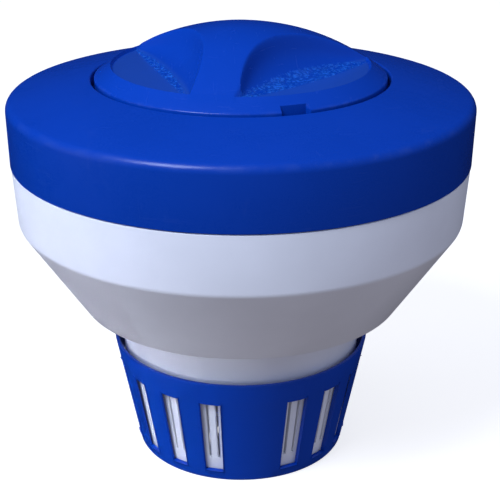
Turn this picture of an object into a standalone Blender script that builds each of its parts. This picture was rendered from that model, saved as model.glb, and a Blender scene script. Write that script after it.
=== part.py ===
"""Floating chlorine dispenser for 76 mm tablets, as the separate pieces it comes apart into.

Metres, +Z up. It stands on the foot of its flow sleeve, with the origin at the centre of that foot.
The lid unscrews upwards on a four-start thread and the flow sleeve turns about the same Z axis.
"""

from math import cos, pi, radians, sin, sqrt, tan

import bmesh
import bpy
from mathutils import Vector

# ---- Driving dimensions -------------------------------------------------------------------------
ROUND = 48  # segments round a large turned piece
ARC_STEPS = 2  # chords in a rounded corner of a profile
WALL = 0.0024  # float shell wall
GAP = 0.0003  # clearance between pieces that touch

# Float: blue collar over white bowl
COLLAR_R = 0.0951
COLLAR_SHOULDER_Z = 0.1558
SHOULDER_FILLET = 0.0052
SEAM_R = 0.0945
SEAM_Z = 0.1308
THROAT_R = 0.0606
THROAT_Z = 0.1633
LEDGE_Z = 0.1580  # the step inside the throat that the lid closes on
LEDGE_BORE_R = 0.0512
SPIGOT_R = 0.0913  # the collar's spigot plugs into the bowl below the seam
SPIGOT_Z = 0.1240
DRUM_R = 0.0942
KNEE_R, KNEE_Z = 0.0926, 0.1062  # where the bowl turns from drum to cone
KEEL_R, KEEL_Z = 0.0680, 0.0690  # the cone's lower edge
HUB_BORE_R = 0.0514
HUB_R = 0.0556
HUB_Z = 0.0840
HAUNCH_Z = 0.1070  # inside, where the cone's wall starts to curve up into the drum's
HAUNCH_R, HAUNCH_TOP_Z = 0.0908, 0.1200
GROOVE_DEPTH = 0.0019
SEAM_GROOVE_Z = (0.1262, 0.1288)
NECK_GROOVE_Z = (0.0745, 0.0771)
FOAM_R = 0.0866
FOAM_TURN_Z = 0.1035
FOAM_SPLIT_Z = (0.1065, 0.1070)
FOAM_TOP_Z = 0.1430

# Tablet canister and flow sleeve: two nested cones
SLEEVE_FOOT_R = 0.0450
SLEEVE_RIM_R = 0.0550
SLEEVE_RIM_Z = 0.0500
SLEEVE_RIM_BORE_R = 0.0532
SLEEVE_WALL = 0.0012
SLEEVE_PLAY = 0.0004  # between the two cones, at the foot
CANISTER_R = 0.0509
CANISTER_WALL = 0.0020
CANISTER_FOOT_Z = 0.0038
CANISTER_KNEE_Z = 0.0418  # cone below, straight tube above
CANISTER_RIM_Z = 0.1577
FLANGE_R = 0.0596
FLANGE_Z = 0.1540
FLANGE_THICK = 0.0030
FOOT_BORE_R = 0.0396
FOOT_LIP = 0.0018  # thickness of the lip that the retaining ring clips over
BOSS_R, BOSS_Z = 0.0031, 0.1440
PILOT_HOLE_Z = 0.1452

# Flow windows: eighteen stations round the sleeve, two of them left solid
STATIONS = 18
SOLID_STATIONS = (0, 9)
FIRST_STATION = radians(-83.8)
WINDOW_HALF = radians(4.75)
WINDOW_Z = (0.0045, 0.0400)
SLIT_OFFSET = radians(2.35)
SLIT_HALF = radians(0.55)
SLIT_Z = (0.0110, 0.0415)
SLEEVE_TRAVEL = radians(10)

# Lid
LID_R = 0.0592
LID_RIM_Z = 0.1637
LID_UNDERSIDE_Z = 0.1602
DOME_FOOT_R, DOME_FOOT_Z = 0.0520, 0.1684
DOME_TOP_Z = 0.1836
LID_WALL = 0.0024
SKIRT_R = 0.0465
SKIRT_BORE_R = 0.0443
SKIRT_Z = 0.1462
RECESS_FLOOR_Z = 0.1672
RECESS_HEADINGS = [radians(198 + 120 * turn) for turn in range(3)]
SCOOP_FOOT = 0.0344  # axis to the foot of a finger scoop's wall
SCOOP_R, SCOOP_END_R = 0.0142, 0.0012  # the wall's arc, at the scoop's middle and more at its ends
SCOOP_HALF_WIDTHS = (0.0362, 0.0405)  # clockwise of the heading, and anticlockwise
SCOOP_STEEPEST = radians(69)
NOTCH_HEADING = radians(-70.1)
NOTCH_HALF = radians(5.1)
NOTCH_R = 0.0565

# Lid thread: four starts, free after a quarter turn
STARTS = 4
LEAD = 0.0480
RIB_SWEEP = radians(36)
RIB_HEIGHT = 0.0022
LID_RIB_R = 0.0482
LID_RIB_Z = 0.1470
CANISTER_RIB_R = 0.0470
RIB_SPACING = 0.0027  # a lid rib to the canister rib that holds it down

# Small parts
SCREWS = 6
SCREW_RING_R = 0.0564
SCREW_HOLE_R = 0.0017
SCREW_R = 0.0014
SCREW_HEAD_R = 0.0027
SCREW_LENGTH = 0.0123  # under the head
FLOOR_SLOTS = 12

# ---- Worked out from them -----------------------------------------------------------------------
SLEEVE_TAPER = (SLEEVE_RIM_R - SLEEVE_FOOT_R) / SLEEVE_RIM_Z
CANISTER_FOOT_R = SLEEVE_FOOT_R + SLEEVE_TAPER * CANISTER_FOOT_Z - SLEEVE_WALL - SLEEVE_PLAY
CANISTER_TAPER = (CANISTER_R - CANISTER_FOOT_R) / (CANISTER_KNEE_Z - CANISTER_FOOT_Z)
CONE_SLOPE = (KNEE_R - KEEL_R) / (KNEE_Z - KEEL_Z)
CONE_WALL = WALL * sqrt(1 + CONE_SLOPE**2)  # the cone's wall measured level
ROOF_SLOPE = (THROAT_Z - COLLAR_SHOULDER_Z) / (COLLAR_R - THROAT_R)
DOME_RISE = DOME_TOP_Z - DOME_FOOT_Z
DOME_SPHERE_R = (DOME_FOOT_R**2 + DOME_RISE**2) / (2 * DOME_RISE)
DOME_CENTRE_Z = DOME_TOP_Z - DOME_SPHERE_R
SCREW_HEADINGS = [radians(30) + 2 * pi * index / SCREWS for index in range(SCREWS)]


def sleeve_inner(z):
    return SLEEVE_FOOT_R + SLEEVE_TAPER * z - SLEEVE_WALL


def canister_outer(z):
    return min(CANISTER_R, CANISTER_FOOT_R + CANISTER_TAPER * (z - CANISTER_FOOT_Z))


def canister_inner(z):
    return canister_outer(z) - CANISTER_WALL


def cone_inner(z):
    return KEEL_R + CONE_SLOPE * (z - KEEL_Z) - CONE_WALL


# ---- Scene, materials and shared tools ----------------------------------------------------------
def empty_scene():
    for obj in list(bpy.data.objects):
        bpy.data.objects.remove(obj, do_unlink=True)


def new_collection(name):
    collection = bpy.data.collections.new(name)
    bpy.context.scene.collection.children.link(collection)
    return collection


def plastic(name, colour, roughness, metallic=0.0):
    material = bpy.data.materials.new(name)
    material.use_nodes = True
    shader = material.node_tree.nodes["Principled BSDF"]
    shader.inputs["Base Color"].default_value = (*colour, 1.0)
    shader.inputs["Roughness"].default_value = roughness
    shader.inputs["Metallic"].default_value = metallic
    return material


def place(name, mesh, collection, material=None):
    obj = bpy.data.objects.new(name, mesh)
    collection.objects.link(obj)
    if material:
        mesh.materials.append(material)
    return obj


def rounded(corners):
    """Profile points from (r, z) corners; a corner (r, z, radius) becomes an arc."""
    points = []
    for index, corner in enumerate(corners):
        here = Vector(corner[:2])
        if len(corner) == 2:
            points.append(here)
            continue
        back = (Vector(corners[index - 1][:2]) - here).normalized()
        ahead = (Vector(corners[(index + 1) % len(corners)][:2]) - here).normalized()
        half = back.angle(ahead) / 2
        centre = here + (back + ahead).normalized() * corner[2] / sin(half)
        start = here + back * corner[2] / tan(half) - centre
        end = here + ahead * corner[2] / tan(half) - centre
        sweep = pi - 2 * half
        for step in range(ARC_STEPS + 1):
            part = step / ARC_STEPS
            spoke = (start * sin((1 - part) * sweep) + end * sin(part * sweep)) / sin(sweep)
            points.append(centre + spoke)
    return points


def turned(name, corners, collection, material=None, closed=True, segments=ROUND):
    """A profile turned about Z. Its outer side runs from the top down."""
    points = rounded(corners)
    edges = [(index, index + 1) for index in range(len(points) - 1)]
    if closed:
        edges.append((len(points) - 1, 0))
    mesh = bpy.data.meshes.new(name)
    mesh.from_pydata([(point.x, 0, point.y) for point in points], edges, [])
    obj = place(name, mesh, collection, material)
    screw = obj.modifiers.new("turn", "SCREW")
    screw.steps = segments
    screw.render_steps = segments
    screw.use_merge_vertices = True
    screw.merge_threshold = 0.00001
    screw.use_smooth_shade = True
    return obj


def helper_object(name, bm, collection):
    """A cutter or an added shape, from a bmesh, kept out of the render."""
    mesh = bpy.data.meshes.new(name)
    bm.to_mesh(mesh)
    bm.free()
    obj = place(name, mesh, collection)
    obj.hide_render = True
    obj.display_type = "WIRE"
    return obj


def sector_block(bm, heading, half_width, radii, heights):
    """A block between two radii and two heights, with radial sides."""
    for vert in bmesh.ops.create_cube(bm, size=2.0)["verts"]:
        angle = heading + half_width * vert.co.y
        radius = radii[vert.co.x > 0]
        vert.co = (radius * cos(angle), radius * sin(angle), heights[vert.co.z > 0])


def round_bar(bm, centre, radius, heights, segments=16):
    made = bmesh.ops.create_cone(
        bm, cap_ends=True, segments=segments, radius1=radius, radius2=radius, depth=heights[1] - heights[0]
    )
    bmesh.ops.translate(bm, verts=made["verts"], vec=(*centre, sum(heights) / 2))


def keep_behind(bm, point, normal):
    """Cuts the closed shape with a plane, keeps what lies behind it and caps the cut."""
    everything = bm.verts[:] + bm.edges[:] + bm.faces[:]
    cut = bmesh.ops.bisect_plane(bm, geom=everything, plane_co=point, plane_no=normal, clear_outer=True)
    rim = [item for item in cut["geom_cut"] if isinstance(item, bmesh.types.BMEdge)]
    bmesh.ops.edgeloop_fill(bm, edges=rim)
    bmesh.ops.recalc_face_normals(bm, faces=bm.faces)


def thread_rib(bm, heading, radii, z):
    """One stretch of thread: a section swept up the helix, thinner at its crest."""
    root, crest = radii
    taper = RIB_HEIGHT / 5
    section = ((root, 0), (crest, taper), (crest, RIB_HEIGHT - taper), (root, RIB_HEIGHT))
    verts = [bm.verts.new((r * cos(heading), r * sin(heading), z + rise)) for r, rise in section]
    face = bm.faces.new(verts)
    steps = 6
    bmesh.ops.spin(
        bm,
        geom=[face, *face.edges, *verts],
        axis=(0, 0, 1),
        cent=(0, 0, 0),
        dvec=(0, 0, LEAD * RIB_SWEEP / (2 * pi) / steps),
        angle=RIB_SWEEP,
        steps=steps,
    )
    bmesh.ops.recalc_face_normals(bm, faces=bm.faces)


def boolean(target, other, operation="DIFFERENCE"):
    modifier = target.modifiers.new(other.name, "BOOLEAN")
    modifier.operation = operation
    modifier.solver = "EXACT"
    modifier.object = other


def settle(obj):
    """Makes the object's modified shape its own mesh, smooth with sharp corners."""
    graph = bpy.context.evaluated_depsgraph_get()
    mesh = bpy.data.meshes.new_from_object(obj.evaluated_get(graph), depsgraph=graph)
    mesh.name = obj.name
    obj.modifiers.clear()
    obj.data = mesh
    mesh.shade_smooth()
    mesh.set_sharp_from_angle(angle=radians(32))


# ---- Float --------------------------------------------------------------------------------------
def make_float_collar(parts, helpers, material):
    roof = WALL * sqrt(1 + ROOF_SLOPE**2)
    throat_outer_r = THROAT_R + WALL
    inner_r = COLLAR_R - WALL - GAP
    groove_r = SPIGOT_R - GROOVE_DEPTH
    inner_roof_z = THROAT_Z - ROOF_SLOPE * (inner_r - THROAT_R) - roof
    collar = turned(
        "float_collar",
        [
            (THROAT_R, THROAT_Z, 0.0006),
            (COLLAR_R, COLLAR_SHOULDER_Z, SHOULDER_FILLET),
            (SEAM_R, SEAM_Z),
            (SPIGOT_R, SEAM_Z),
            (SPIGOT_R, SEAM_GROOVE_Z[1]),
            (groove_r, SEAM_GROOVE_Z[1]),
            (groove_r, SEAM_GROOVE_Z[0]),
            (SPIGOT_R, SEAM_GROOVE_Z[0]),
            (SPIGOT_R, SPIGOT_Z),
            (SPIGOT_R - 0.0027, SPIGOT_Z),
            (SPIGOT_R - 0.0027, SEAM_Z + 0.0037),
            (inner_r, SEAM_Z + 0.0077),
            (inner_r, inner_roof_z, 0.0030),
            (throat_outer_r, THROAT_Z - ROOF_SLOPE * WALL - roof),
            (throat_outer_r, LEDGE_Z - WALL),
            (LEDGE_BORE_R, LEDGE_Z - WALL),
            (LEDGE_BORE_R, LEDGE_Z),
            (THROAT_R, LEDGE_Z),
        ],
        parts,
        material,
    )
    boolean(collar, screw_holes("collar_screw_holes", helpers, LEDGE_Z - 0.006, LEDGE_Z + 0.002))


def make_float_bowl(parts, material):
    floor_z = KEEL_Z + WALL
    groove_r = HUB_BORE_R + GROOVE_DEPTH
    turned(
        "float_bowl",
        [
            (DRUM_R, SEAM_Z - GAP),
            (KNEE_R, KNEE_Z, 0.0045),
            (KEEL_R, KEEL_Z),
            (HUB_BORE_R, KEEL_Z),
            (HUB_BORE_R, NECK_GROOVE_Z[0]),
            (groove_r, NECK_GROOVE_Z[0]),
            (groove_r, NECK_GROOVE_Z[1]),
            (HUB_BORE_R, NECK_GROOVE_Z[1]),
            (HUB_BORE_R, HUB_Z),
            (HUB_R, HUB_Z),
            (HUB_R, floor_z),
            (cone_inner(floor_z), floor_z),
            (cone_inner(HAUNCH_Z), HAUNCH_Z),
            (HAUNCH_R, HAUNCH_TOP_Z),
            (SPIGOT_R + 0.0004, SPIGOT_Z - 0.0025),
            (SPIGOT_R + 0.0004, SEAM_Z - GAP),
        ],
        parts,
        material,
    )


def make_foam_rings(parts, material):
    slack = 0.0012
    low = KEEL_Z + WALL + 0.0014
    lower_bore_r = HUB_R + 0.0006
    upper_bore_r = CANISTER_R + 0.0011
    split_low, split_high = FOAM_SPLIT_Z
    turned(
        "foam_ring_lower",
        [
            (FOAM_R, split_low),
            (FOAM_R, FOAM_TURN_Z),
            (cone_inner(low) - slack, low),
            (lower_bore_r, low),
            (lower_bore_r, split_low),
        ],
        parts,
        material,
    )
    turned(
        "foam_ring_upper",
        [(FOAM_R, FOAM_TOP_Z), (FOAM_R, split_high), (upper_bore_r, split_high), (upper_bore_r, FOAM_TOP_Z)],
        parts,
        material,
    )


# ---- Canister -----------------------------------------------------------------------------------
def make_canister(parts, helpers, material):
    bead_r = CANISTER_R + 0.0007
    lip_top_z = CANISTER_FOOT_Z + FOOT_LIP
    bore_r = CANISTER_R - CANISTER_WALL
    canister = turned(
        "tablet_canister",
        [
            (CANISTER_R, CANISTER_RIM_Z),
            (CANISTER_R, FLANGE_Z),
            (FLANGE_R, FLANGE_Z),
            (FLANGE_R, FLANGE_Z - FLANGE_THICK),
            (CANISTER_R, FLANGE_Z - FLANGE_THICK),
            (CANISTER_R, KEEL_Z - 0.0004),
            (bead_r, KEEL_Z - 0.0010),
            (bead_r, KEEL_Z - 0.0018),
            (CANISTER_R, KEEL_Z - 0.0026),
            (CANISTER_R, CANISTER_KNEE_Z),
            (canister_outer(CANISTER_FOOT_Z), CANISTER_FOOT_Z),
            (FOOT_BORE_R, CANISTER_FOOT_Z),
            (FOOT_BORE_R, lip_top_z),
            (canister_inner(lip_top_z), lip_top_z),
            (bore_r, CANISTER_KNEE_Z),
            (bore_r, CANISTER_RIM_Z),
        ],
        parts,
        material,
    )
    boolean(canister, canister_thread(helpers), "UNION")
    boolean(canister, canister_bosses(helpers), "UNION")
    boolean(canister, stop_tab(helpers), "UNION")
    boolean(canister, screw_holes("flange_screw_holes", helpers, PILOT_HOLE_Z, FLANGE_Z + 0.001))
    boolean(canister, slits(helpers))


def canister_thread(helpers):
    bm = bmesh.new()
    for start in range(STARTS):
        heading = 2 * pi * start / STARTS
        thread_rib(bm, heading, (CANISTER_R - CANISTER_WALL / 2, CANISTER_RIB_R), LID_RIB_Z + RIB_SPACING)
    return helper_object("canister_thread", bm, helpers)


def canister_bosses(helpers):
    bm = bmesh.new()
    for heading in SCREW_HEADINGS:
        centre = (SCREW_RING_R * cos(heading), SCREW_RING_R * sin(heading))
        round_bar(bm, centre, BOSS_R, (BOSS_Z, FLANGE_Z - FLANGE_THICK / 2))
    return helper_object("canister_bosses", bm, helpers)


def stop_tab(helpers):
    """The tab under the canister that runs in the sleeve's slot and limits its turn."""
    bm = bmesh.new()
    sector_block(bm, radians(90), radians(3), (0.0400, 0.0418), (0.0019, CANISTER_FOOT_Z + 0.0005))
    return helper_object("stop_tab", bm, helpers)


def screw_holes(name, helpers, low, high):
    bm = bmesh.new()
    for heading in SCREW_HEADINGS:
        centre = (SCREW_RING_R * cos(heading), SCREW_RING_R * sin(heading))
        round_bar(bm, centre, SCREW_HOLE_R, (low, high), segments=12)
    return helper_object(name, bm, helpers)


def open_stations():
    for station in range(STATIONS):
        if station not in SOLID_STATIONS:
            yield FIRST_STATION + 2 * pi * station / STATIONS


def slits(helpers):
    bm = bmesh.new()
    for heading in open_stations():
        for side in (-1, 1):
            sector_block(bm, heading + side * SLIT_OFFSET, SLIT_HALF, (0.038, 0.054), SLIT_Z)
    return helper_object("slits", bm, helpers)


def make_canister_floor(parts, helpers, material):
    low, high = 0.0073, 0.0095
    radius = canister_inner(low) - 0.0004
    floor = turned(
        "canister_floor", [(radius, high), (radius, low), (0.0040, low), (0.0040, high)], parts, material
    )
    bm = bmesh.new()
    for slot in range(FLOOR_SLOTS):
        sector_block(bm, 2 * pi * slot / FLOOR_SLOTS, radians(6.5), (0.0110, 0.0360), (low - 0.002, high + 0.002))
    boolean(floor, helper_object("floor_slots", bm, helpers))


# ---- Flow sleeve --------------------------------------------------------------------------------
def make_flow_sleeve(parts, helpers, material):
    foot_inner_r = SLEEVE_FOOT_R - 0.0026
    flange_low, flange_high = 0.0018, 0.0034
    rim_bore_z = 0.0465
    sleeve = turned(
        "flow_sleeve",
        [
            (SLEEVE_RIM_R, SLEEVE_RIM_Z, 0.0006),
            (SLEEVE_FOOT_R, 0.0),
            (foot_inner_r, 0.0),
            (foot_inner_r, flange_low),
            (FOOT_BORE_R, flange_low),
            (FOOT_BORE_R, flange_high),
            (sleeve_inner(flange_high), flange_high),
            (sleeve_inner(rim_bore_z - 0.0025), rim_bore_z - 0.0025),
            (SLEEVE_RIM_BORE_R, rim_bore_z),
            (SLEEVE_RIM_BORE_R, SLEEVE_RIM_Z, 0.0005),
        ],
        parts,
        material,
    )
    boolean(sleeve, windows(helpers))
    boolean(sleeve, stop_slot(helpers, flange_low, flange_high))
    return sleeve


def windows(helpers):
    bm = bmesh.new()
    for heading in open_stations():
        sector_block(bm, heading, WINDOW_HALF, (0.038, 0.060), WINDOW_Z)
    return helper_object("windows", bm, helpers)


def stop_slot(helpers, low, high):
    """Room for the canister's stop tab while the sleeve turns from open to closed."""
    tab_half = radians(3.4)
    middle = radians(90) - SLEEVE_TRAVEL / 2
    bm = bmesh.new()
    sector_block(bm, middle, SLEEVE_TRAVEL / 2 + tab_half, (0.0385, 0.0423), (low - 0.001, high + 0.001))
    return helper_object("stop_slot", bm, helpers)


def make_retaining_ring(parts, material):
    """Clips up into the canister's foot and carries the sleeve."""
    stem_r = FOOT_BORE_R - 0.0004
    bore_r = 0.0366
    foot_z, top_z = 0.0004, 0.0070
    bead_z = CANISTER_FOOT_Z + FOOT_LIP + GAP
    turned(
        "sleeve_retaining_ring",
        [
            (stem_r, top_z),
            (stem_r + 0.0011, bead_z + 0.0004),
            (stem_r + 0.0011, bead_z),
            (stem_r, bead_z),
            (stem_r, 0.0015),
            (0.0421, 0.0015),
            (0.0421, foot_z),
            (bore_r, foot_z),
            (bore_r, top_z),
        ],
        parts,
        material,
    )


# ---- Lid ----------------------------------------------------------------------------------------
def make_lid(parts, helpers, material):
    dome_steps = 7
    foot_angle = pi / 2 - abs(Vector((DOME_FOOT_R, DOME_FOOT_Z - DOME_CENTRE_Z)).angle_signed(Vector((1, 0))))
    dome = []
    for step in range(dome_steps + 1):
        tilt = foot_angle * step / dome_steps
        dome.append((DOME_SPHERE_R * sin(tilt), DOME_CENTRE_Z + DOME_SPHERE_R * cos(tilt)))
    lid = turned(
        "lid",
        [
            *dome,
            (LID_R, LID_RIM_Z, 0.0009),
            (LID_R, LID_UNDERSIDE_Z),
            (SKIRT_R, LID_UNDERSIDE_Z),
            (SKIRT_R, SKIRT_Z),
            (SKIRT_BORE_R, SKIRT_Z),
            (SKIRT_BORE_R, RECESS_FLOOR_Z - LID_WALL),
            (0.0, RECESS_FLOOR_Z - LID_WALL),
        ],
        parts,
        material,
        closed=False,
    )
    boolean(lid, lid_core(helpers))
    for index, heading in enumerate(RECESS_HEADINGS):
        boolean(lid, grip_recess(f"grip_recess_{index + 1}", heading, helpers))
    boolean(lid, rim_notch(helpers))
    boolean(lid, lid_thread(helpers), "UNION")
    return lid


def scoop(name, heading, helpers, inset=0.0):
    """A finger scoop: sections across the heading, each an arc up from the floor and a steep straight top.

    inset takes every face further into the lid.
    """
    bm = bmesh.new()
    floor_z, top_z = RECESS_FLOOR_Z - inset, DOME_TOP_Z + 0.010
    along = Vector((cos(heading), sin(heading), 0))
    across = Vector((-sin(heading), cos(heading), 0))
    sections = []
    steps, arc_steps = 6, 6
    for step in range(-steps, steps + 1):
        half_width = SCOOP_HALF_WIDTHS[step > 0]
        offset = half_width * 1.25 * step / steps
        radius = SCOOP_R * max(0.0, 1 - (offset / half_width) ** 2) + SCOOP_END_R + inset
        wall = [
            (SCOOP_FOOT - radius * sin(tilt), floor_z + radius * (1 - cos(tilt)))
            for tilt in (SCOOP_STEEPEST * part / arc_steps for part in range(arc_steps + 1))
        ]
        rise = top_z - wall[-1][1]
        outline = [*wall, (wall[-1][0] - rise / tan(SCOOP_STEEPEST), top_z), (LID_R + 0.010, top_z)]
        outline.append((LID_R + 0.010, floor_z))
        sections.append([bm.verts.new(along * reach + across * offset + Vector((0, 0, z))) for reach, z in outline])
    edges = [bm.edges.new((ring[i - 1], ring[i])) for ring in sections for i in range(len(ring))]
    for here, ahead in zip(sections, sections[1:]):
        for corner in range(len(here)):
            bm.faces.new((here[corner - 1], here[corner], ahead[corner], ahead[corner - 1]))
    bmesh.ops.holes_fill(bm, edges=edges)
    bmesh.ops.recalc_face_normals(bm, faces=bm.faces)
    return helper_object(name, bm, helpers)


def grip_recess(name, heading, helpers):
    """The scoop inside the dome's foot circle."""
    bm = bmesh.new()
    round_bar(bm, (0, 0), DOME_FOOT_R, (RECESS_FLOOR_Z, DOME_TOP_Z + 0.005), segments=ROUND)
    recess = helper_object(name, bm, helpers)
    boolean(recess, scoop(f"{name}_scoop", heading, helpers), "INTERSECT")
    return recess


def lid_core(helpers):
    """The hollow inside the three arms of the grip, one wall in from every outer face."""
    bm = bmesh.new()
    bmesh.ops.create_uvsphere(bm, u_segments=32, v_segments=36, radius=DOME_SPHERE_R - LID_WALL)
    bmesh.ops.translate(bm, verts=bm.verts, vec=(0, 0, DOME_CENTRE_Z))
    keep_behind(bm, (0, 0, RECESS_FLOOR_Z - LID_WALL - 0.0010), (0, 0, -1))
    for heading in RECESS_HEADINGS:
        arm = heading + pi
        arm_end = Vector((cos(arm), sin(arm), 0)) * (SKIRT_BORE_R - 0.0010)
        keep_behind(bm, arm_end, arm_end.normalized())
    core = helper_object("lid_core", bm, helpers)
    for index, heading in enumerate(RECESS_HEADINGS):
        boolean(core, scoop(f"core_scoop_{index + 1}", heading, helpers, inset=LID_WALL))
    return core


def rim_notch(helpers):
    bm = bmesh.new()
    sector_block(bm, NOTCH_HEADING, NOTCH_HALF, (NOTCH_R, LID_R + 0.003), (LID_UNDERSIDE_Z - 0.002, DOME_FOOT_Z + 0.002))
    return helper_object("rim_notch", bm, helpers)


def lid_thread(helpers):
    bm = bmesh.new()
    for start in range(STARTS):
        thread_rib(bm, 2 * pi * start / STARTS, (SKIRT_R - 0.0010, LID_RIB_R), LID_RIB_Z)
    return helper_object("lid_thread", bm, helpers)


def make_lid_gasket(parts, material):
    low, high = LEDGE_Z + GAP, LEDGE_Z + 0.0019
    inner_r, outer_r = SKIRT_R + GAP, 0.0534
    return turned(
        "lid_gasket", [(outer_r, high), (outer_r, low), (inner_r, low), (inner_r, high)], parts, material
    )


# ---- Seals and screws ---------------------------------------------------------------------------
def make_o_ring(name, radius, section_r, z, parts, material):
    bpy.ops.mesh.primitive_torus_add(
        location=(0, 0, z), major_radius=radius, minor_radius=section_r, major_segments=ROUND, minor_segments=6
    )
    ring = bpy.context.object
    ring.name = name
    ring.data.name = name
    ring.data.materials.append(material)
    ring.users_collection[0].objects.unlink(ring)
    parts.objects.link(ring)


def make_flange_gasket(parts, helpers, material):
    low, high = FLANGE_Z + GAP, LEDGE_Z - WALL - GAP
    inner_r, outer_r = CANISTER_R + 0.0004, FLANGE_R - 0.0002
    gasket = turned(
        "flange_gasket", [(outer_r, high), (outer_r, low), (inner_r, low), (inner_r, high)], parts, material
    )
    boolean(gasket, screw_holes("gasket_screw_holes", helpers, low - 0.001, high + 0.001))


def make_screws(parts, helpers, material):
    """Pan-head screws through the ledge into the canister's flange, with a cross recess."""
    head_z = 0.0016
    pattern = turned(
        "flange_screw_1",
        [
            (0.0, head_z),
            (SCREW_HEAD_R * 0.75, head_z),
            (SCREW_HEAD_R, head_z * 0.45),
            (SCREW_HEAD_R, 0.0),
            (SCREW_R, 0.0),
            (SCREW_R, 0.0020 - SCREW_LENGTH),
            (0.0, -SCREW_LENGTH),
        ],
        parts,
        material,
        closed=False,
        segments=12,
    )
    for slot, size in enumerate(((0.0030, 0.0007, 0.0018), (0.0007, 0.0030, 0.0018))):
        bm = bmesh.new()
        bmesh.ops.create_cube(bm, size=1.0)
        bmesh.ops.scale(bm, verts=bm.verts, vec=size)
        bmesh.ops.translate(bm, verts=bm.verts, vec=(0, 0, head_z))
        boolean(pattern, helper_object(f"cross_recess_{slot + 1}", bm, helpers))
    settle(pattern)
    for index, heading in enumerate(SCREW_HEADINGS):
        screw = pattern if index == 0 else place(f"flange_screw_{index + 1}", pattern.data, parts)
        screw.location = (SCREW_RING_R * cos(heading), SCREW_RING_R * sin(heading), LEDGE_Z + GAP)
        screw.rotation_euler.z = heading + 0.7 * index


# ---- Assembly -----------------------------------------------------------------------------------
def joint_axis(name, parts, z, children):
    """An empty on the Z axis that the pieces moving together hang from."""
    axis = bpy.data.objects.new(name, None)
    axis.empty_display_size = 0.02
    axis.location.z = z
    parts.objects.link(axis)
    bpy.context.view_layer.update()
    for child in children:
        child.parent = axis
        child.matrix_parent_inverse = axis.matrix_world.inverted()
    return axis


def main():
    empty_scene()
    parts = new_collection("floating_chlorine_dispenser")
    helpers = new_collection("cutters")
    blue = plastic("blue_plastic", (0.004, 0.052, 0.440), 0.34)
    blue_lid = plastic("lid_blue_plastic", (0.004, 0.060, 0.500), 0.32)
    blue_sleeve = plastic("sleeve_blue_plastic", (0.004, 0.042, 0.330), 0.36)
    white = plastic("float_white_plastic", (0.72, 0.74, 0.80), 0.42)
    canister_white = plastic("canister_white_plastic", (0.74, 0.75, 0.79), 0.45)
    rubber = plastic("black_rubber", (0.025, 0.025, 0.027), 0.70)
    foam = plastic("white_foam", (0.80, 0.80, 0.78), 0.90)
    steel = plastic("screw_steel", (0.62, 0.61, 0.59), 0.30, metallic=1.0)

    make_float_collar(parts, helpers, blue)
    make_float_bowl(parts, white)
    make_foam_rings(parts, foam)
    make_canister(parts, helpers, canister_white)
    make_canister_floor(parts, helpers, canister_white)
    sleeve = make_flow_sleeve(parts, helpers, blue_sleeve)
    make_retaining_ring(parts, canister_white)
    lid = make_lid(parts, helpers, blue_lid)
    gasket = make_lid_gasket(parts, rubber)
    make_flange_gasket(parts, helpers, rubber)
    make_o_ring("seam_o_ring", SPIGOT_R - 0.00075, 0.00085, sum(SEAM_GROOVE_Z) / 2, parts, rubber)
    make_o_ring("neck_o_ring", HUB_BORE_R + 0.0007, 0.0009, sum(NECK_GROOVE_Z) / 2, parts, rubber)
    make_screws(parts, helpers, steel)
    for obj in list(parts.objects):
        if obj.modifiers:
            settle(obj)

    lift = joint_axis("lid_lift_axis", parts, LEDGE_Z, [gasket])
    turn = joint_axis("lid_turn_axis", parts, LEDGE_Z, [lid])
    turn.parent = lift
    turn.matrix_parent_inverse = lift.matrix_world.inverted()
    joint_axis("sleeve_turn_axis", parts, 0.0, [sleeve])


main()
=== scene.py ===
"""Looks of the floating chlorine dispenser, built round its fixed CAD frame.

Every moulding that shows is remade here at its CAD place with rounded edges and its own finish.
Metres, +Z up, standing on the flow sleeve's foot, front towards -Y.
"""

from math import ceil, cos, hypot, pi, radians, sin, sqrt, tan

import bmesh
import bpy
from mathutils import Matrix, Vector


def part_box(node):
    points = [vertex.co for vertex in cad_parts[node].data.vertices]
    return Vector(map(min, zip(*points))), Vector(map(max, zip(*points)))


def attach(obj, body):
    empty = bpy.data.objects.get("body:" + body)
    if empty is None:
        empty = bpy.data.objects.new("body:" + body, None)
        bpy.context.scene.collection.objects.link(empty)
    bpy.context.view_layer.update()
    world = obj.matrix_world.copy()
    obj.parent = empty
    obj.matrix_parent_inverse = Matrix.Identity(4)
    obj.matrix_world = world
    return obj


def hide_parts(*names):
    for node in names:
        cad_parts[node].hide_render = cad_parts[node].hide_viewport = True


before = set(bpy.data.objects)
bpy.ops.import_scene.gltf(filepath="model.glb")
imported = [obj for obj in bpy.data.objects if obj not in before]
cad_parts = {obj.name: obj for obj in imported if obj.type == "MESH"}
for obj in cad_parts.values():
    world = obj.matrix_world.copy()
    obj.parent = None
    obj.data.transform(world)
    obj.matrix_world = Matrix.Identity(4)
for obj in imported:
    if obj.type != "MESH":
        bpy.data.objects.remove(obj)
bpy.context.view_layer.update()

MM = 0.001
TOUCH_GAP = 0.3 * MM  # left between pieces that touch
SHELL_WALL = 2.4 * MM  # collar, bowl and lid
WELD = 0.001 * MM  # vertices closer than this are one
JOIN = 0.01 * MM  # the same, where the copies of a ring meet

# ---- Sizes read from the frame ------------------------------------------------------------------
COLLAR_LOW, COLLAR_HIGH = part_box("float_collar")
BOWL_LOW, BOWL_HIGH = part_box("float_bowl")
CANISTER_LOW, CANISTER_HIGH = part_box("tablet_canister")
SLEEVE_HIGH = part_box("flow_sleeve")[1]
LID_LOW, LID_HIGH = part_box("lid")
GASKET_LOW, GASKET_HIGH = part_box("lid_gasket")
GRATE_LOW, GRATE_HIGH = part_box("canister_floor")
RING_LOW, RING_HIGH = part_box("sleeve_retaining_ring")
SCREW_LOW, SCREW_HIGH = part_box("flange_screw_1")

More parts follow.
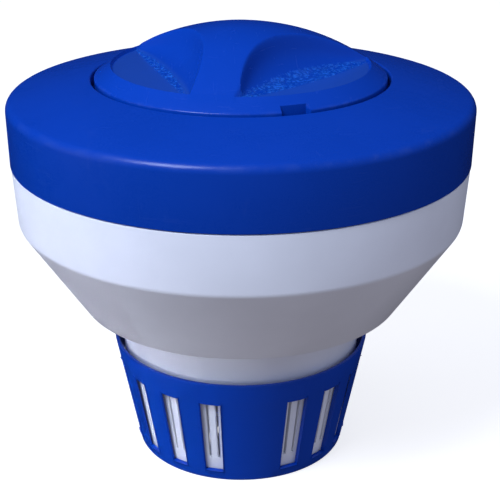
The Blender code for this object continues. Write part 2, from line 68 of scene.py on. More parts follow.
# ---- Float --------------------------------------------------------------------------------------
COLLAR_R = COLLAR_HIGH[0]
SHOULDER_Z = COLLAR_HIGH[2] - 7.5 * MM
SEAM_Z = BOWL_HIGH[2] + TOUCH_GAP
SEAM_R = COLLAR_R - 0.5 * MM
THROAT_R = 60.6 * MM
THROAT_Z = COLLAR_HIGH[2] + 0.15 * MM
LEDGE_Z = GASKET_LOW[2] - TOUCH_GAP
LEDGE_BORE_R = 51.2 * MM
SPIGOT_Z = COLLAR_LOW[2]
SPIGOT_R = 91.3 * MM
DRUM_R = BOWL_HIGH[0]
KNEE = (92.6 * MM, 106.2 * MM)
KEEL = (68.0 * MM, BOWL_LOW[2])
HUB_BORE_R = 51.4 * MM
HUB_R, HUB_Z = 55.6 * MM, 84.0 * MM
HAUNCH_Z = 107.0 * MM  # inside, where the cone's wall curves up into the drum's
HAUNCH_R, HAUNCH_TOP_Z = 90.8 * MM, 120.0 * MM

# ---- Canister and flow sleeve: nested cones, eighteen stations, two of them solid -----------------
STATIONS = 18
SOLID_EVERY = 9
FIRST_STATION = radians(-83.8)
WINDOW_HALF = radians(4.75)
WINDOW_LOW, WINDOW_TOP = 4.5 * MM, 40.0 * MM
SLIT_LOW, SLIT_TOP = 11.0 * MM, 41.5 * MM
SLIT_OFFSET, SLIT_HALF = radians(2.35), radians(0.55)
SLEEVE_FOOT_R = 45.0 * MM
SLEEVE_RIM_R = SLEEVE_HIGH[0]
SLEEVE_RIM_Z = SLEEVE_HIGH[2]
SLEEVE_WALL = 1.2 * MM
SLEEVE_PLAY = 0.4 * MM  # between the two cones, at the foot
SLEEVE_BORE_R, SLEEVE_BORE_Z = 53.2 * MM, 46.5 * MM
SLEEVE_TAPER = (SLEEVE_RIM_R - SLEEVE_FOOT_R) / SLEEVE_RIM_Z
CANISTER_R = 50.9 * MM
CANISTER_WALL = 2.0 * MM
CANISTER_FOOT_Z = CANISTER_LOW[2] + 1.9 * MM
CANISTER_KNEE_Z = 41.8 * MM  # cone below, straight tube above
CANISTER_FOOT_R = SLEEVE_FOOT_R + SLEEVE_TAPER * CANISTER_FOOT_Z - SLEEVE_WALL - SLEEVE_PLAY
CANISTER_TAPER = (CANISTER_R - CANISTER_FOOT_R) / (CANISTER_KNEE_Z - CANISTER_FOOT_Z)
FOOT_BORE_R = 39.6 * MM
FLANGE_Z = 154.0 * MM
FLANGE_THICK = 3.0 * MM
BOSS_R, BOSS_Z = 3.1 * MM, 144.0 * MM
SCREWS = 6
SCREW_RING_R = 56.4 * MM
FLOOR_SLOTS = 12
FLOOR_SLOT_HALF = radians(6.5)

# ---- Lid ----------------------------------------------------------------------------------------
LID_R = LID_HIGH[0]
LID_RIM_Z = 163.7 * MM
LID_UNDERSIDE_Z = GASKET_HIGH[2] + TOUCH_GAP
DOME_FOOT_R, DOME_FOOT_Z = 52.0 * MM, 168.4 * MM
DOME_TOP_Z = LID_HIGH[2]
DOME_RISE = DOME_TOP_Z - DOME_FOOT_Z
DOME_SPHERE_R = (DOME_FOOT_R**2 + DOME_RISE**2) / (2 * DOME_RISE)
DOME_CENTRE_Z = DOME_TOP_Z - DOME_SPHERE_R
SKIRT_R, SKIRT_BORE_R = 46.5 * MM, 44.3 * MM
SKIRT_Z = LID_LOW[2]
RECESS_FLOOR_Z = 167.2 * MM
SCOOP_FOOT = 34.4 * MM
SCOOP_R, SCOOP_END_R = 14.2 * MM, 1.2 * MM
SCOOP_HALF_WIDTHS = (36.2 * MM, 40.5 * MM)  # clockwise of the heading, and anticlockwise
SCOOP_STEEPEST = radians(69)
RECESS_HEADINGS = [radians(198 + 120 * turn) for turn in range(3)]
# How far the spark-eroded texture and its painted highlight run out past the foot of each wall, and how
# far up the wall.
GRAIN_AND_GLINT_SPANS = [(0.4 * MM, 4.2 * MM), (4.0 * MM, 7.5 * MM), (0.2 * MM, 3.0 * MM)]
NOTCH_HEADING, NOTCH_HALF, NOTCH_R = radians(-70.1), radians(5.1), 56.5 * MM
NOTCH_DRAFT = radians(2.3)

THREAD_STARTS = 4
THREAD_LEAD = 48.0 * MM
THREAD_SWEEP = radians(36)
THREAD_HEIGHT = 2.2 * MM
THREAD_Z = 147.0 * MM
THREAD_SPACING = 2.7 * MM  # a lid rib to the canister rib that holds it down
LID_RIB_R, MOUTH_RIB_R = 48.2 * MM, 47.0 * MM
RIB_ROOT = 0.4 * MM  # sunk into the wall


# ---- Shader and node writing --------------------------------------------------------------------
class Wire:
    """A node's output. Arithmetic on it adds Math nodes."""

    def __init__(self, maker, socket):
        self.maker = maker
        self.socket = socket

    def math(self, operation, first, second=0.0, clamp=False):
        settings = {"operation": operation, "use_clamp": clamp}
        return self.maker.add("ShaderNodeMath", settings, {0: first, 1: second})

    def __add__(self, other):
        return self.math("ADD", self, other)

    def __sub__(self, other):
        return self.math("SUBTRACT", self, other)

    def __rsub__(self, other):
        return self.math("SUBTRACT", other, self)

    def __mul__(self, other):
        return self.math("MULTIPLY", self, other)

    def __truediv__(self, other):
        return self.math("DIVIDE", self, other)

    def __pow__(self, other):
        return self.math("POWER", self, other)

    __radd__ = __add__
    __rmul__ = __mul__


class Maker:
    """Adds nodes to one node tree."""

    def __init__(self, tree):
        self.tree = tree

    def add(self, kind, settings=None, inputs=None, output=0):
        node = self.tree.nodes.new(kind)
        for name, value in (settings or {}).items():
            if name == "stops":
                for element, (position, colour) in zip(ramp_elements(node, len(value)), value):
                    element.position = position
                    element.color = (*colour, 1.0)
            else:
                setattr(node, name, value)
        for key, value in (inputs or {}).items():
            if isinstance(value, Wire):
                self.tree.links.new(value.socket, node.inputs[key])
            else:
                node.inputs[key].default_value = value
        return Wire(self, node.outputs[output])


def ramp_elements(node, count):
    elements = node.color_ramp.elements
    while len(elements) < count:
        elements.new(1.0)
    return elements


class Finish(Maker):
    """A material's node tree, with the surface patterns that the finishes share."""

    def __init__(self, name):
        self.material = bpy.data.materials.new(name)
        self.material.use_nodes = True
        super().__init__(self.material.node_tree)
        self.shader = self.tree.nodes["Principled BSDF"]
        self.place = self.add("ShaderNodeTexCoord", output="Object")
        self.x = self.axis("X")
        self.y = self.axis("Y")
        self.z = self.axis("Z")
        self.radius = (self.x * self.x + self.y * self.y) ** 0.5

    def axis(self, name):
        return self.add("ShaderNodeSeparateXYZ", inputs={0: self.place}, output=name)

    def stretched(self, scale):
        return self.add("ShaderNodeMapping", inputs={"Vector": self.place, "Scale": scale})

    def noise(self, scale, detail=3.0, roughness=0.5, place=None, distortion=0.0):
        inputs = {
            "Vector": place or self.place,
            "Scale": scale,
            "Detail": detail,
            "Roughness": roughness,
            "Distortion": distortion,
        }
        return self.add("ShaderNodeTexNoise", inputs=inputs)

    def cells(self, scale):
        return self.add("ShaderNodeTexVoronoi", inputs={"Vector": self.place, "Scale": scale})

    def ramp(self, value, low, high, start=0.0, end=1.0):
        """start below low, end above high, and a smooth step between them."""
        inputs = {"Value": value, "From Min": low, "From Max": high, "To Min": start, "To Max": end}
        return self.add("ShaderNodeMapRange", {"interpolation_type": "SMOOTHSTEP"}, inputs)

    def mix(self, mask, first, second):
        first, second = (c if isinstance(c, Wire) else (*c, 1.0) for c in (first, second))
        settings = {"data_type": "RGBA", "clamp_factor": True}
        return self.add("ShaderNodeMix", settings, {0: mask, 6: first, 7: second}, output=2)

    def near_circle(self, radius, z, reach):
        """1 on the circle of that radius and height, 0 from reach away."""
        away = ((self.radius - radius) ** 2.0 + (self.z - z) ** 2.0) ** 0.5
        return self.ramp(away, 0.0, reach, 1.0, 0.0)

    def bump(self, height, depth, under=None):
        inputs = {"Strength": 1.0, "Distance": depth, "Height": height}
        if under:
            inputs["Normal"] = under
        return self.add("ShaderNodeBump", inputs=inputs)

    def feed(self, **inputs):
        """Sets the shader's sockets: Base_Color=..., Roughness=... and so on."""
        for name, value in inputs.items():
            socket = self.shader.inputs[name.replace("_", " ")]
            if isinstance(value, Wire):
                self.tree.links.new(value.socket, socket)
            else:
                socket.default_value = value
        return self.material


def shade(colour, factor):
    return tuple(min(1.0, channel * factor) for channel in colour)


def moulded_plastic(
    name, colour, roughness, edges=(), worn=(0.35, 0.5, 0.75), scuffing=1.0, extra=None
):
    """Injection-moulded plastic: faint tone drift, hairline scuffs, rubbed edges, moulding skin.

    edges are the circles (radius, z, reach) that get rubbed.
    """
    finish = Finish(name)
    drift = finish.noise(22.0, 4.0, 0.55)
    skin = finish.noise(900.0, 2.0)
    fine = finish.noise(5200.0, 1.0)
    long_marks = finish.noise(60.0, 5.0, 0.7, finish.stretched((1.0, 1.0, 9.0)), 0.6)
    cross_marks = finish.noise(75.0, 5.0, 0.7, finish.stretched((7.0, 1.0, 1.0)), 0.8)
    scuffs = finish.ramp(long_marks, 0.60, 0.72) + finish.ramp(cross_marks, 0.62, 0.74)
    base = finish.mix(drift, shade(colour, 0.90), shade(colour, 1.10))
    base = finish.mix(scuffs * (0.008 * scuffing), base, worn)
    rubbed = None
    for radius, z, reach in edges:
        ring = finish.near_circle(radius, z, reach)
        rubbed = ring if rubbed is None else rubbed + ring
    if rubbed is not None:
        rubbed = rubbed * finish.ramp(finish.noise(140.0, 5.0, 0.65), 0.42, 0.68)
        base = finish.mix(rubbed * 0.025, base, worn)
    gloss = roughness + (drift - 0.5) * 0.10 + scuffs * (0.05 * scuffing) + (fine - 0.5) * 0.05
    if rubbed is not None:
        gloss = gloss + rubbed * 0.03
    normal = finish.bump(skin + fine * 0.25 - scuffs * 0.06, 0.018 * MM)
    if extra:
        base, gloss, normal = extra(finish, base, gloss, normal)
    return finish.feed(
        Base_Color=base, Roughness=gloss, Normal=normal, IOR=1.5, Specular_IOR_Level=0.3
    )


def eroded_grain_and_painted_sheen(finish, base, gloss, normal):
    """The grip's recesses: spark-eroded texture on the floor and up the foot of each wall, painted
    lighter as a highlight; the floor beyond is painted greyish purple as a reflection.
    """
    inside = finish.ramp(finish.radius, DOME_FOOT_R - 0.9 * MM, DOME_FOOT_R - 0.2 * MM, 1.0, 0.0)
    inside = inside * finish.ramp(finish.z, RECESS_FLOOR_Z - 0.9 * MM, RECESS_FLOOR_Z - 0.4 * MM)
    low, high = RECESS_FLOOR_Z + 0.3 * MM, RECESS_FLOOR_Z + 1.2 * MM
    on_floor = inside * finish.ramp(finish.z, low, high, 1.0, 0.0)
    along_wall = None
    for heading, (outwards, inwards) in zip(RECESS_HEADINGS, GRAIN_AND_GLINT_SPANS):
        reach = finish.x * cos(heading) + finish.y * sin(heading)
        across = finish.y * cos(heading) - finish.x * sin(heading)
        spread = 1.0 - across * across / SCOOP_HALF_WIDTHS[1] ** 2
        beyond = reach - SCOOP_FOOT
        near_foot = finish.ramp(beyond - spread * outwards, -0.6 * MM, 0.6 * MM, 1.0, 0.0)
        near_foot = near_foot * finish.ramp(beyond + spread * inwards, -0.8 * MM, 1.2 * MM)
        along_wall = near_foot if along_wall is None else along_wall + near_foot
    band = inside * along_wall
    grain_and_glint = finish.ramp(finish.noise(780.0, 3.0, 0.6, distortion=0.8), 0.46, 0.62)
    # Spark-eroded texture mixed towards a light blue: real texture with a painted highlight on it.
    base = finish.mix(band * grain_and_glint * 0.55, base, (0.02, 0.22, 0.80))
    # The recess floor away from the walls is mixed towards a greyish purple: a painted reflection.
    base = finish.mix(on_floor * (1.0 - along_wall) * 0.35, base, (0.03, 0.10, 0.34))
    gloss = gloss - on_floor * 0.06 + band * grain_and_glint * 0.12
    normal = finish.bump(grain_and_glint * band, 0.20 * MM, normal)
    normal = finish.bump(finish.noise(2600.0, 2.0) * on_floor, 0.02 * MM, normal)
    return base, gloss, normal


def rubber(name):
    finish = Finish(name)
    bloom = finish.noise(120.0, 4.0, 0.6)
    base = finish.mix(finish.ramp(bloom, 0.45, 0.75), (0.016, 0.016, 0.018), (0.045, 0.045, 0.048))
    gloss = 0.62 + (bloom - 0.5) * 0.22
    normal = finish.bump(finish.noise(3000.0, 2.0), 0.03 * MM)
    return finish.feed(Base_Color=base, Roughness=gloss, Normal=normal)


def bead_foam(name):
    finish = Finish(name)
    beads = finish.cells(420.0)
    tone = finish.noise(60.0, 3.0)
    # Darker towards the edge of each bead: painted shade in the creases between beads.
    base = finish.mix(finish.ramp(beads, 0.25, 0.75), (0.84, 0.84, 0.82), (0.60, 0.60, 0.58))
    base = finish.mix(tone * 0.2, base, (0.74, 0.72, 0.66))
    normal = finish.bump(1.0 - beads, 0.5 * MM)
    return finish.feed(Base_Color=base, Roughness=0.82 + (tone - 0.5) * 0.1, Normal=normal)


def screw_steel(name):
    finish = Finish(name)
    turning = finish.noise(900.0, 3.0, 0.6, finish.stretched((1.0, 1.0, 0.05)))
    stain = finish.ramp(finish.noise(240.0, 4.0, 0.6), 0.55, 0.75)
    base = finish.mix(stain * 0.5, (0.58, 0.57, 0.55), (0.30, 0.25, 0.19))
    gloss = 0.24 + turning * 0.16 + stain * 0.18
    normal = finish.bump(turning, 0.01 * MM)
    return finish.feed(
        Base_Color=base, Roughness=gloss, Metallic=1.0 - stain * 0.2, Normal=normal
    )


# ---- Mesh tools ---------------------------------------------------------------------------------
def rounded(corners, steps=6):
    """Profile points from (r, z) corners; a corner (r, z, radius) becomes an arc."""
    points = []
    for index, corner in enumerate(corners):
        here = Vector(corner[:2])
        if len(corner) == 2:
            points.append((here.x, here.y))
            continue
        back = (Vector(corners[index - 1][:2]) - here).normalized()
        ahead = (Vector(corners[(index + 1) % len(corners)][:2]) - here).normalized()
        half = back.angle(ahead) / 2
        centre = here + (back + ahead).normalized() * corner[2] / sin(half)
        start = here + back * corner[2] / tan(half) - centre
        end = here + ahead * corner[2] / tan(half) - centre
        sweep = pi - 2 * half
        for step in range(steps + 1):
            part = step / steps
            spoke = (start * sin((1 - part) * sweep) + end * sin(part * sweep)) / sin(sweep)
            points.append((centre.x + spoke.x, centre.y + spoke.y))
    return points


def object_from(bm, name):
    mesh = bpy.data.meshes.new(name)
    bm.to_mesh(mesh)
    bm.free()
    obj = bpy.data.objects.new(name, mesh)
    bpy.context.scene.collection.objects.link(obj)
    return obj


def lathe(name, corners, segments=240, solid=False):
    """A closed profile turned about Z, its outer side running downwards.

    A solid's profile starts and ends on Z.
    """
    profile = rounded(corners)
    bm = bmesh.new()
    rings = []
    for r, z in profile:
        angles = [2 * pi * turn / segments for turn in range(segments)]
        rings.append([bm.verts.new((r * cos(angle), r * sin(angle), z)) for angle in angles])
    following = rings[1:] if solid else rings[1:] + rings[:1]
    for ring, below in zip(rings, following):
        for turn in range(segments):
            ahead = (turn + 1) % segments
            bm.faces.new((ring[turn], below[turn], below[ahead], ring[ahead]))
    if solid:
        bmesh.ops.remove_doubles(bm, verts=bm.verts, dist=WELD)
    return object_from(bm, name)


def angle_columns(keys, step):
    """The key angles, with even columns no wider than step between them."""
    columns = [keys[0]]
    for start, end in zip(keys, keys[1:]):
        count = max(1, ceil((end - start) / step - 1e-6))
        columns += [start + (end - start) * index / count for index in range(1, count + 1)]
    return columns


def wall_sector(name, profile, pitch, gaps, openings):
    """One station of a turned piece, left open at its two sides.

    gaps are the two profile stretches, by index, that an opening passes through.
    openings are the (from, to) angles left open between them.
    """
    keys = sorted({-pitch / 2, pitch / 2, *(angle for opening in openings for angle in opening)})
    columns = angle_columns(keys, radians(1.3))
    bm = bmesh.new()
    grid = []
    for turn in columns:
        grid.append([bm.verts.new((r * cos(turn), r * sin(turn), z)) for r, z in profile])
    first, second = gaps
    count = len(profile)
    for index, (here, ahead) in enumerate(zip(grid, grid[1:])):
        middle = (columns[index] + columns[index + 1]) / 2
        open_here = any(start < middle < end for start, end in openings)
        for row in range(count):
            if open_here and row in gaps:
                continue
            below = (row + 1) % count
            bm.faces.new((here[row], here[below], ahead[below], ahead[row]))
        if open_here:
            lower, upper = (first + 1) % count, (second + 1) % count
            bm.faces.new((here[lower], here[second], ahead[second], ahead[lower]))
            bm.faces.new((here[upper], here[first], ahead[first], ahead[upper]))
    for angle in {angle for opening in openings for angle in opening}:
        column = grid[min(range(len(columns)), key=lambda index: abs(columns[index] - angle))]
        rows = (first, (first + 1) % count, second, (second + 1) % count)
        bm.faces.new([column[row] for row in rows])
    return object_from(bm, name)


def ring_tree():
    """Geometry nodes: copies of one piece turned round Z, with a second piece at every so many."""
    tree = bpy.data.node_groups.new("ring of pieces", "GeometryNodeTree")
    sockets = {
        "Pattern": "NodeSocketObject",
        "Blank": "NodeSocketObject",
        "Count": "NodeSocketInt",
        "Blank Every": "NodeSocketInt",
        "Start": "NodeSocketFloat",
        "Merge": "NodeSocketFloat",
        "Material": "NodeSocketMaterial",
    }
    for name, kind in sockets.items():
        tree.interface.new_socket(name, in_out="INPUT", socket_type=kind)
    tree.interface.new_socket("Geometry", in_out="OUTPUT", socket_type="NodeSocketGeometry")
    maker = Maker(tree)
    given = tree.nodes.new("NodeGroupInput")

    def value(name):
        return Wire(maker, given.outputs[name])

    points = maker.add("GeometryNodePoints", inputs={"Count": value("Count")})
    index = maker.add("GeometryNodeInputIndex")
    heading = index * (2 * pi) / value("Count") + value("Start")
    turn = maker.add("ShaderNodeCombineXYZ", inputs={"Z": heading})
    is_blank = maker.add("FunctionNodeCompare", {"data_type": "INT", "operation": "EQUAL"}, {
        2: index.math("MODULO", index, value("Blank Every")),
        3: 0,
    })
    is_open = maker.add("FunctionNodeBooleanMath", {"operation": "NOT"}, {0: is_blank})
    joined = tree.nodes.new("GeometryNodeJoinGeometry")
    for source, chosen in (("Pattern", is_open), ("Blank", is_blank)):
        piece = maker.add(
            "GeometryNodeObjectInfo", inputs={"Object": value(source)}, output="Geometry"
        )
        copies = maker.add("GeometryNodeInstanceOnPoints", inputs={
            "Points": points,
            "Selection": chosen,
            "Instance": piece,
            "Rotation": turn,
        })
        tree.links.new(copies.socket, joined.inputs[0])
    real = maker.add("GeometryNodeRealizeInstances", inputs={0: Wire(maker, joined.outputs[0])})
    merged = maker.add(
        "GeometryNodeMergeByDistance", inputs={"Geometry": real, "Distance": value("Merge")}
    )
    painted = maker.add(
        "GeometryNodeSetMaterial", inputs={"Geometry": merged, "Material": value("Material")}
    )
    tree.links.new(painted.socket, tree.nodes.new("NodeGroupOutput").inputs[0])
    return tree


RING_TREE = ring_tree()


def ring_of(
    name, pattern, count, material, start=0.0, blank=None, blank_every=0, merge=0.0, bevel=0.0
):
    """The ring as one plain mesh; pattern and blank are used up."""
    holder = bpy.data.objects.new(name, bpy.data.meshes.new(name))
    bpy.context.scene.collection.objects.link(holder)
    nodes = holder.modifiers.new("ring", "NODES")
    nodes.node_group = RING_TREE
    given = {
        "Pattern": pattern,
        "Blank": blank or pattern,
        "Count": count,
        "Blank Every": blank_every or count,
        "Start": start,
        "Merge": merge,
        "Material": material,
    }
    for item in RING_TREE.interface.items_tree:
        if item.in_out == "INPUT":
            nodes[item.identifier] = given[item.name]
    if bevel:
        add_bevel(holder, bevel)
    ring = settled(holder, name)
    for used in {pattern, blank} - {None}:
        bpy.data.objects.remove(used, do_unlink=True)
    return ring


def add_bevel(obj, width, segments=2, angle=radians(32)):
    bevel = obj.modifiers.new("edge radius", "BEVEL")
    bevel.width = width
    bevel.segments = segments
    bevel.limit_method = "ANGLE"
    bevel.angle_limit = angle
    bevel.use_clamp_overlap = True


def settled(obj, name):
    """The object's shape with its modifiers as a plain mesh, its faces turned outwards."""
    graph = bpy.context.evaluated_depsgraph_get()
    mesh = bpy.data.meshes.new_from_object(obj.evaluated_get(graph), depsgraph=graph)
    obj.modifiers.clear()
    bm = bmesh.new()
    bm.from_mesh(mesh)
    bmesh.ops.remove_doubles(bm, verts=bm.verts, dist=WELD)
    bmesh.ops.recalc_face_normals(bm, faces=bm.faces)
    bm.to_mesh(mesh)
    bm.free()
    obj.data = mesh
    mesh.name = name
    return obj


def smooth(obj, angle=radians(38)):
    obj.data.shade_smooth()
    obj.data.set_sharp_from_angle(angle=angle)


def fit(obj, body, slot, material, *nodes):
    """A finished piece: its material, the body that carries it and the CAD nodes it stands for."""
    obj.data.materials.clear()
    obj.data.materials.append(material)
    smooth(obj)
    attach(obj, body)
    if nodes:
        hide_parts(*nodes)


# ---- Float --------------------------------------------------------------------------------------
def make_collar(material):
    slope = (THROAT_Z - SHOULDER_Z) / (COLLAR_R - THROAT_R)
    roof = SHELL_WALL * sqrt(1 + slope**2)
    wall = SHELL_WALL
    inner_r = COLLAR_R - wall - TOUCH_GAP
    throat_outer = THROAT_R + wall
    spigot_inner = SPIGOT_R - 2.7 * MM
    collar = lathe("collar_moulding", [
        (THROAT_R, THROAT_Z, 0.7 * MM),
        (COLLAR_R + 0.05 * MM, SHOULDER_Z, 3.8 * MM),
        (SEAM_R, SEAM_Z, 0.35 * MM),
        (SPIGOT_R, SEAM_Z),
        (SPIGOT_R, SPIGOT_Z, 0.4 * MM),
        (spigot_inner, SPIGOT_Z, 0.4 * MM),
        (spigot_inner, SEAM_Z + 3.7 * MM),
        (inner_r, SEAM_Z + 7.7 * MM),
        (inner_r, THROAT_Z - slope * (inner_r - THROAT_R) - roof, 3.0 * MM),
        (throat_outer, THROAT_Z - slope * wall - roof),
        (throat_outer, LEDGE_Z - wall),
        (LEDGE_BORE_R, LEDGE_Z - wall),
        (LEDGE_BORE_R, LEDGE_Z, 0.3 * MM),
        (THROAT_R, LEDGE_Z, 0.6 * MM),
    ])
    fit(collar, "float", "float_blue", material, "float_collar")


def make_bowl(material):
    slope = (KNEE[0] - KEEL[0]) / (KNEE[1] - KEEL[1])
    level_wall = SHELL_WALL * sqrt(1 + slope**2)
    floor_z = KEEL[1] + SHELL_WALL
    socket_r = SPIGOT_R + 0.4 * MM

    def inside(z):
        return KEEL[0] + slope * (z - KEEL[1]) - level_wall

    bowl = lathe("bowl_moulding", [
        (DRUM_R, BOWL_HIGH[2], 0.5 * MM),
        (*KNEE, 4.5 * MM),
        (*KEEL, 0.5 * MM),
        (HUB_BORE_R, KEEL[1], 0.4 * MM),
        (HUB_BORE_R, HUB_Z),
        (HUB_R, HUB_Z),
        (HUB_R, floor_z),
        (inside(floor_z), floor_z),
        (inside(HAUNCH_Z), HAUNCH_Z),
        (HAUNCH_R, HAUNCH_TOP_Z),
        (socket_r, SPIGOT_Z - 2.5 * MM),
        (socket_r, BOWL_HIGH[2]),
    ])
    fit(bowl, "float", "float_white", material, "float_bowl")


# ---- Canister and sleeve ------------------------------------------------------------------------
def sleeve_inner(z):
    return SLEEVE_FOOT_R + SLEEVE_TAPER * z - SLEEVE_WALL


def canister_outer(z):
    return min(CANISTER_R, CANISTER_FOOT_R + CANISTER_TAPER * (z - CANISTER_FOOT_Z))


def make_sleeve(material):
    flange_low, flange_high = 1.8 * MM, 3.4 * MM
    foot_inner = SLEEVE_FOOT_R - 2.6 * MM
    throat_z = SLEEVE_BORE_Z - 2.5 * MM
    profile = [
        (SLEEVE_RIM_R, SLEEVE_RIM_Z),
        (SLEEVE_FOOT_R + SLEEVE_TAPER * WINDOW_TOP, WINDOW_TOP),
        (SLEEVE_FOOT_R + SLEEVE_TAPER * WINDOW_LOW, WINDOW_LOW),
        (SLEEVE_FOOT_R, 0.0),
        (foot_inner, 0.0),
        (foot_inner, flange_low),
        (FOOT_BORE_R, flange_low),
        (FOOT_BORE_R, flange_high),
        (sleeve_inner(flange_high), flange_high),
        (sleeve_inner(WINDOW_LOW), WINDOW_LOW),
        (sleeve_inner(WINDOW_TOP), WINDOW_TOP),
        (sleeve_inner(throat_z), throat_z),
        (SLEEVE_BORE_R, SLEEVE_BORE_Z),
        (SLEEVE_BORE_R, SLEEVE_RIM_Z),
    ]
    pitch = 2 * pi / STATIONS
    gaps = (1, 9)
    open_one = wall_sector("sleeve_open", profile, pitch, gaps, [(-WINDOW_HALF, WINDOW_HALF)])
    solid_one = wall_sector("sleeve_solid", profile, pitch, gaps, [])
    sleeve = ring_of(
        "sleeve_moulding", open_one, STATIONS, material, FIRST_STATION,
        blank=solid_one, blank_every=SOLID_EVERY, merge=JOIN, bevel=0.45 * MM,
    )
    fit(sleeve, "sleeve", "sleeve_blue", material, "flow_sleeve")


def make_canister(material):
    bead_r = CANISTER_R + 0.7 * MM
    lip_z = CANISTER_FOOT_Z
    foot_z = lip_z + 1.8 * MM
    bore = CANISTER_R - CANISTER_WALL
    flange_r, flange_low = CANISTER_HIGH[0], FLANGE_Z - FLANGE_THICK
    keel_z = KEEL[1]
    profile = [
        (CANISTER_R, CANISTER_HIGH[2]),
        (CANISTER_R, FLANGE_Z),
        (flange_r, FLANGE_Z),
        (flange_r, flange_low),
        (CANISTER_R, flange_low),
        (CANISTER_R, keel_z - 0.4 * MM),
        (bead_r, keel_z - 1.0 * MM),
        (bead_r, keel_z - 1.8 * MM),
        (CANISTER_R, keel_z - 2.6 * MM),
        (CANISTER_R, CANISTER_KNEE_Z),
        (canister_outer(SLIT_TOP), SLIT_TOP),
        (canister_outer(SLIT_LOW), SLIT_LOW),
        (canister_outer(lip_z), lip_z),
        (FOOT_BORE_R, lip_z),
        (FOOT_BORE_R, foot_z),
        (canister_outer(foot_z) - CANISTER_WALL, foot_z),
        (canister_outer(SLIT_LOW) - CANISTER_WALL, SLIT_LOW),
        (canister_outer(SLIT_TOP) - CANISTER_WALL, SLIT_TOP),
        (bore, CANISTER_KNEE_Z),
        (bore, CANISTER_HIGH[2]),
    ]
    pitch = 2 * pi / STATIONS
    pair = [(side * SLIT_OFFSET - SLIT_HALF, side * SLIT_OFFSET + SLIT_HALF) for side in (-1, 1)]
    open_one = wall_sector("canister_open", profile, pitch, (10, 16), pair)
    solid_one = wall_sector("canister_solid", profile, pitch, (10, 16), [])
    canister = ring_of(
        "canister_moulding", open_one, STATIONS, material, FIRST_STATION,
        blank=solid_one, blank_every=SOLID_EVERY, merge=JOIN, bevel=0.22 * MM,
    )
    fit(canister, "float", "canister_white", material, "tablet_canister")
    boss_top = flange_low + 1.0 * MM
    boss = lathe("screw_boss", [
        (0.0, boss_top),
        (BOSS_R, boss_top),
        (BOSS_R, BOSS_Z, 0.5 * MM),
        (0.0, BOSS_Z),
    ], segments=24, solid=True)
    for vert in boss.data.vertices:
        vert.co.x += SCREW_RING_R
    bosses = ring_of("screw_bosses", boss, SCREWS, material, pi / SCREWS)
    fit(bosses, "float", "canister_white", material)


def make_grate(material):
    low, high = GRATE_LOW[2], GRATE_HIGH[2]
    hole_r, slot_start, slot_end = 4.0 * MM, 11.0 * MM, 36.0 * MM
    outwards = (hole_r, slot_start, slot_end, GRATE_HIGH[0])
    profile = [*((r, low) for r in reversed(outwards)), *((r, high) for r in outwards)]
    gaps = (1, 5)
    slot = [(-FLOOR_SLOT_HALF, FLOOR_SLOT_HALF)]
    sector = wall_sector("grate_sector", profile, 2 * pi / FLOOR_SLOTS, gaps, slot)
    grate = ring_of("drain_grate", sector, FLOOR_SLOTS, material, merge=JOIN, bevel=0.4 * MM)
    fit(grate, "float", "canister_white", material, "canister_floor")


def make_retaining_ring(material):
    stem, bore = FOOT_BORE_R - 0.4 * MM, 36.6 * MM
    bead_r, bead_z = stem + 1.1 * MM, 5.9 * MM
    collar_z = 1.5 * MM
    ring = lathe("retaining_ring_moulding", [
        (stem, RING_HIGH[2]),
        (bead_r, bead_z + 0.5 * MM),
        (bead_r, bead_z, 0.2 * MM),
        (stem, bead_z),
        (stem, collar_z),
        (RING_HIGH[0], collar_z, 0.25 * MM),
        (RING_HIGH[0], RING_LOW[2], 0.25 * MM),
        (bore, RING_LOW[2], 0.5 * MM),
        (bore, RING_HIGH[2], 0.5 * MM),
    ])
    fit(ring, "float", "canister_white", material, "sleeve_retaining_ring")


def thread_rib(name, root, crest, z):
    """One stretch of thread, swept up the helix, its ends run out into the wall."""
    steps = 24
    bm = bmesh.new()
    sections = []
    for step in range(steps + 1):
        part = step / steps
        angle = THREAD_SWEEP * part
        rise = z + THREAD_LEAD * angle / (2 * pi)
        height = sqrt(max(0.0, 1 - (2 * part - 1) ** 8))
        tip = root + (crest - root) * height
        taper = THREAD_HEIGHT * 0.2
        outline = ((root, 0.0), (tip, taper), (tip, THREAD_HEIGHT - taper), (root, THREAD_HEIGHT))
        section = [(r * cos(angle), r * sin(angle), rise + up) for r, up in outline]
        sections.append([bm.verts.new(point) for point in section])
    for here, ahead in zip(sections, sections[1:]):
        for corner in range(4):
            after = (corner + 1) % 4
            bm.faces.new((here[corner], here[after], ahead[after], ahead[corner]))
    bm.faces.new(sections[0])
    bm.faces.new(reversed(sections[-1]))
    return object_from(bm, name)


def make_threads(lid_material, canister_material):
    edge = 0.25 * MM
    lid_rib = thread_rib("lid_rib", SKIRT_R - RIB_ROOT, LID_RIB_R, THREAD_Z)
    lid_ribs = ring_of("lid_thread_ribs", lid_rib, THREAD_STARTS, lid_material, bevel=edge)
    fit(lid_ribs, "lid", "lid_blue", lid_material)
    root = CANISTER_R - CANISTER_WALL + RIB_ROOT
    mouth_rib = thread_rib("mouth_rib", root, MOUTH_RIB_R, THREAD_Z + THREAD_SPACING)
    mouth_ribs = ring_of("mouth_thread_ribs", mouth_rib, THREAD_STARTS, canister_material, bevel=edge)
    fit(mouth_ribs, "float", "canister_white", canister_material)


# ---- Lid ----------------------------------------------------------------------------------------
def soft_min(first, second, blend):
    """The lower of two heights, rounded over where they cross."""
    share = min(1.0, max(0.0, 0.5 + 0.5 * (second - first) / blend))
    return second + (first - second) * share - blend * share * (1 - share)


